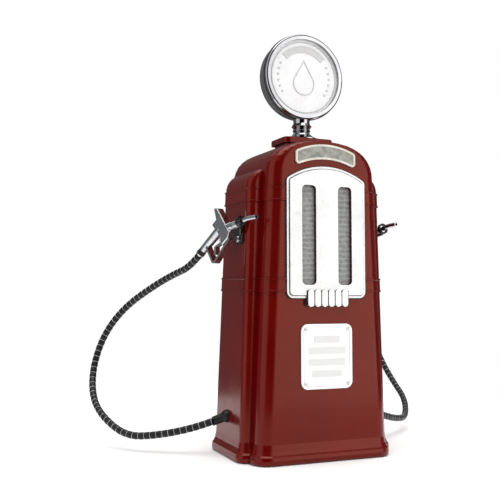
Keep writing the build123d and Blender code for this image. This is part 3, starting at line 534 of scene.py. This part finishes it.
# ======== Badge and sign ========
# A blank badge in a cream frame above the panel, and below it a pressed tin sign with blank raised bars
# in place of lettering. The sign is held by four dome rivets.
cream_trim = finish(
    "cream_trim", (0.52, 0.50, 0.43), (0.60, 0.585, 0.52), (0.22, 0.34), metal=0.3, patch=60.0,
)
badge_grey = finish(
    "badge_grey", (0.19, 0.19, 0.17), (0.33, 0.33, 0.29), (0.3, 0.5), metal=0.3, patch=180.0, grain=900.0,
    bump=0.00006,
)
# Painted shade on the sign: sideways walls go darker, and raised relief goes grey for the shadows that
# outline it.
pressed_tin = shade_walls(
    finish("pressed_tin", (0.85, 0.85, 0.845), (0.90, 0.90, 0.895), (0.30, 0.42), metal=0.15, patch=50.0),
    (0, 1, 0), (0.30, 0.30, 0.31),
)
shade_relief_tops(pressed_tin, (0, -1, FRONT_LEAN), FRONT_AT_FLOOR + 0.0018, 0.66)
coat_with(cream_trim, "badge_frame")
coat_with(badge_grey, "badge_insert")
coat_with(pressed_tin, "sign_plate", "sign_plate_rivets")

# ======== Lid, stem and globe ========
# The red filler lid lifts off with everything on it: a chrome turned stem, and a drum shaped globe
# with a chrome rim round a pressed face that bears a plain drop, dots and a blank arc.
globe_chrome = finish(
    "globe_chrome", (0.36, 0.36, 0.37), (0.44, 0.44, 0.45), (0.05, 0.13), metal=1.0, patch=60.0,
)
drum_grey = finish("drum_grey", (0.15, 0.15, 0.155), (0.20, 0.20, 0.205), (0.28, 0.40), metal=0.6, patch=50.0)
# Painted shade on the globe face: sideways walls go darker, and the raised drop, dots and arc go grey for the
# shadows that outline them.
face_tin = shade_walls(
    finish("face_tin", (0.80, 0.80, 0.805), (0.86, 0.86, 0.865), (0.30, 0.42), metal=0.15, patch=60.0),
    (0, 1, 0), (0.30, 0.30, 0.31),
)
shade_relief_tops(face_tin, (0, -1, 0), 0.00475, 0.58)
soft_rubber = finish(
    "soft_rubber", (0.004, 0.004, 0.004), (0.009, 0.009, 0.009), (0.5, 0.7), patch=70.0, level=0.3,
)
coat_with(red_enamel, "filler_lid")
coat_with(soft_rubber, "lid_gasket")
coat_with(globe_chrome, "globe_stem", "globe_rim", "stem_bolt")
coat_with(drum_grey, "globe_drum")
coat_with(face_tin, "globe_face")
GLOBE_CENTRE = 0.3585
GROOVE_STEPS = 96
RIM_GROOVES = [(0.04155, -0.0030, 0.00050), (0.0402, -0.0077, 0.00035), (0.0372, -0.0075, 0.00040)]
rim_shadow = finish(
    "rim_shadow", (0.030, 0.030, 0.032), (0.055, 0.055, 0.058), (0.25, 0.40), metal=0.5, patch=90.0,
)
for index, (ring_radius, ring_y, wire) in enumerate(RIM_GROOVES):
    circle = []
    for step in range(GROOVE_STEPS):
        angle = math.tau * step / GROOVE_STEPS
        circle.append((ring_radius * math.cos(angle), ring_y, GLOBE_CENTRE + ring_radius * math.sin(angle)))
    piped(f"rim_groove_{index + 1}", circle, wire, rim_shadow, "lid_and_globe")

# ======== Nozzles and holders ========
# Each dispensing nozzle is a satin chrome casting with a curved spout, a ribbed collar, a guard and a
# trigger. It hangs by its spout in a black eye on the wing and is fed through its hollow handle.
satin_chrome = finish(
    "satin_chrome", (0.52, 0.535, 0.56), (0.66, 0.67, 0.69), (0.10, 0.20), metal=1.0, patch=160.0,
    grain=1400.0, bump=0.000001,
)
black_nylon = finish(
    "black_nylon", (0.003, 0.003, 0.003), (0.007, 0.007, 0.007), (0.35, 0.5), patch=90.0, bump=0.00001,
    level=0.3,
)
hook_black = finish("hook_black", (0.004, 0.003, 0.003), (0.010, 0.007, 0.007), (0.20, 0.32), patch=80.0)
for side in ("left", "right"):
    for part in ("body", "spout", "collar", "guard", "trigger", "valve_stem", "trigger_pin", "trigger_spring",
                 "hose_ring"):
        coat_with(satin_chrome, f"{side}_nozzle_{part}")
    coat_with(satin_chrome, f"{side}_holder_screws")
    coat_with(hook_black, f"{side}_nozzle_holder")
    coat_with(black_nylon, f"{side}_nozzle_hose_grip", f"{side}_hose_gland", f"{side}_hose_sleeve")

# ======== Tanks and pipes ========
# Two milky drink tanks stand on a tray inside, and each drains through an elbow and a short tube. All
# of this is hidden inside the cabinet.
tank_plastic = finish("tank_plastic", (0.62, 0.64, 0.64), (0.75, 0.77, 0.77), (0.15, 0.25), patch=40.0)
pipe_nylon = finish("pipe_nylon", (0.55, 0.55, 0.52), (0.68, 0.68, 0.64), (0.3, 0.4), patch=90.0)
for side in ("left", "right"):
    coat_with(tank_plastic, side + "_tank")
    coat_with(pipe_nylon, side + "_outlet_elbow", side + "_inner_tube")
coat_with(black_nylon, "tank_tray")

# ======== Base, feet and back cover ========
# A black base plate closes the foot of the body, with four rubber feet, and a red cover with vent
# slots closes the back. Both are held by pan head screws.
zinc_screws = finish(
    "zinc_screws", (0.45, 0.45, 0.46), (0.62, 0.62, 0.63), (0.2, 0.35), metal=1.0, patch=200.0,
)
coat_with(red_enamel, "back_cover")
coat_with(black_nylon, "base_plate")
coat_with(soft_rubber, "base_feet")
coat_with(zinc_screws, "base_screws", "back_cover_screws")
